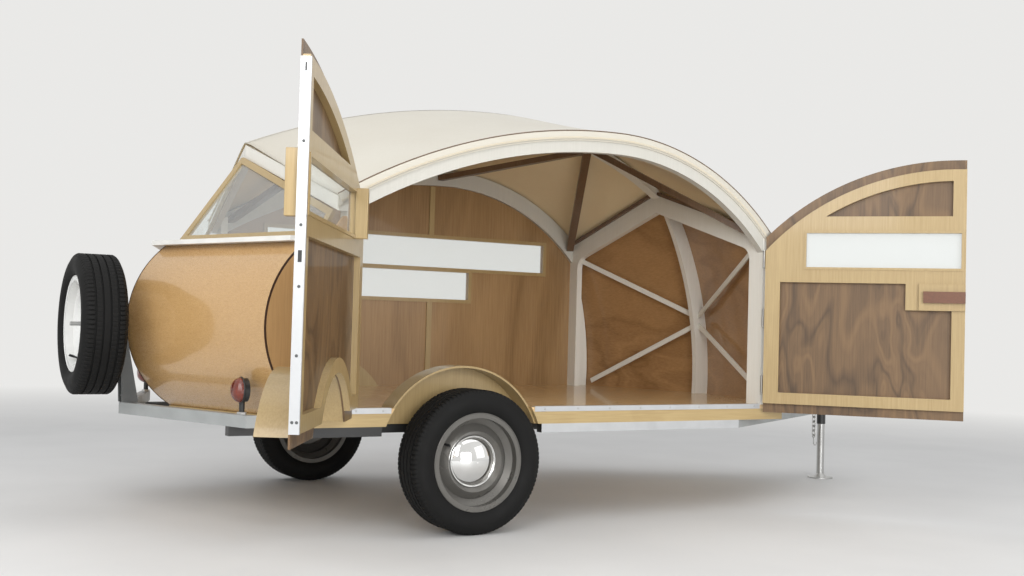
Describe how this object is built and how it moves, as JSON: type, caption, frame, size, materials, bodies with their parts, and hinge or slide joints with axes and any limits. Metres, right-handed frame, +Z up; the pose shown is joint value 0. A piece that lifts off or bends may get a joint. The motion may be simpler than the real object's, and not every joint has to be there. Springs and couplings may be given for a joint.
{
  "type": "travel trailer",
  "caption": "Small wooden camping trailer with a curved canvas roof, two side doors that swing open, a bowed front, a round stern, a spare wheel and a tongue with a jack.",
  "frame": {"origin": "centre of the mouth of the tow coupler's socket", "axes": "+X forwards towards the tow vehicle, +Y to the trailer's left, +Z up"},
  "size_m": [4.6607, 3.0388, 1.97],
  "materials": {
    "canvas": "matte",
    "birch": "gloss",
    "wall_ply": "gloss",
    "door_ply": "gloss",
    "barrel_ply": "gloss",
    "floor_ply": "gloss",
    "pale_frame": "satin",
    "dark_rafter": "satin",
    "black_steel": "satin",
    "grey_steel": "satin",
    "dark_steel": "satin",
    "aluminium": "satin",
    "zinc": "satin",
    "silver_rim": "satin",
    "white_rim": "gloss",
    "bright_cap": "polished",
    "tyre": "matte",
    "clear_pane": "gloss",
    "lamp_cup": "satin",
    "red_lens": "gloss"
  },
  "bodies": {
    "trailer": {"axle": "black_steel", "barrel_left": "barrel_ply", "barrel_right": "barrel_ply", "canvas_trim": "canvas", "chassis_frame": "black_steel", "corner_panels": "wall_ply", "coupler": "grey_steel", "edge_rails": "aluminium", "floor_deck": "floor_ply", "floor_frame": "birch", "front_braces": "pale_frame", "front_panel_left": "wall_ply", "front_panel_right": "wall_ply", "front_portal": "pale_frame", "front_rib": "pale_frame", "hinge_posts": "zinc", "jack_sleeve": "black_steel", "lamp_housings": "lamp_cup", "lamp_lenses": "red_lens", "left_fender": "birch", "left_panes": "clear_pane", "left_wall": "wall_ply", "left_window_trim": "birch", "rafters": "dark_rafter", "rear_beam": "grey_steel", "rear_gable": "pale_frame", "rear_ledge": "pale_frame", "rear_posts": "pale_frame", "rear_window_frames": "birch", "rear_window_panes": "clear_pane", "ridge_beam": "pale_frame", "roof_canvas": "canvas", "safety_chain": "zinc", "side_arches": "pale_frame", "sill_strips": "aluminium", "spare_arm": "dark_steel", "spare_nut": "zinc", "spare_rim": "white_rim", "spare_tyre": "tyre", "tongue_deck": "birch", "tongue_frame": "grey_steel", "wheel_wells": "birch"},
    "wheel_right": {"right_tyre": "tyre", "right_rim": "silver_rim", "right_hubcap": "bright_cap"},
    "wheel_left": {"left_tyre": "tyre", "left_rim": "silver_rim", "left_hubcap": "bright_cap"},
    "door_front": {"front_door_skin": "door_ply", "front_door_frame": "birch", "front_door_pane": "clear_pane", "front_door_latch": "birch", "front_door_hinges": "zinc"},
    "door_rear": {"rear_door_skin": "door_ply", "rear_door_frame": "birch", "rear_door_pane": "clear_pane", "rear_door_fender": "birch", "rear_door_edge": "aluminium", "rear_door_hinges": "zinc"},
    "jack_leg": {"jack_leg": "zinc"}
  },
  "joints": [
    {"name": "wheel_right_spin", "type": "hinge", "parent": "trailer", "child": "wheel_right", "pos_m": [-3.16, -0.922, -0.105], "axis": [0, 1, 0], "continuous": true},
    {"name": "wheel_left_spin", "type": "hinge", "parent": "trailer", "child": "wheel_left", "pos_m": [-3.16, 0.922, -0.105], "axis": [0, 1, 0], "continuous": true},
    {"name": "front_door_swing", "type": "hinge", "parent": "trailer", "child": "door_front", "pos_m": [-1.499, -0.886, 0.493], "axis": [0, 0, 1], "range_deg": [-130.9, 24]},
    {"name": "rear_door_swing", "type": "hinge", "parent": "trailer", "child": "door_rear", "pos_m": [-3.693, -0.886, 0.493], "axis": [0, 0, -1], "range_deg": [-121.8, 9]},
    {"name": "jack_slide", "type": "slide", "parent": "trailer", "child": "jack_leg", "axis": [0, 0, 1], "range_m": [0, 0.25]}
  ]
}
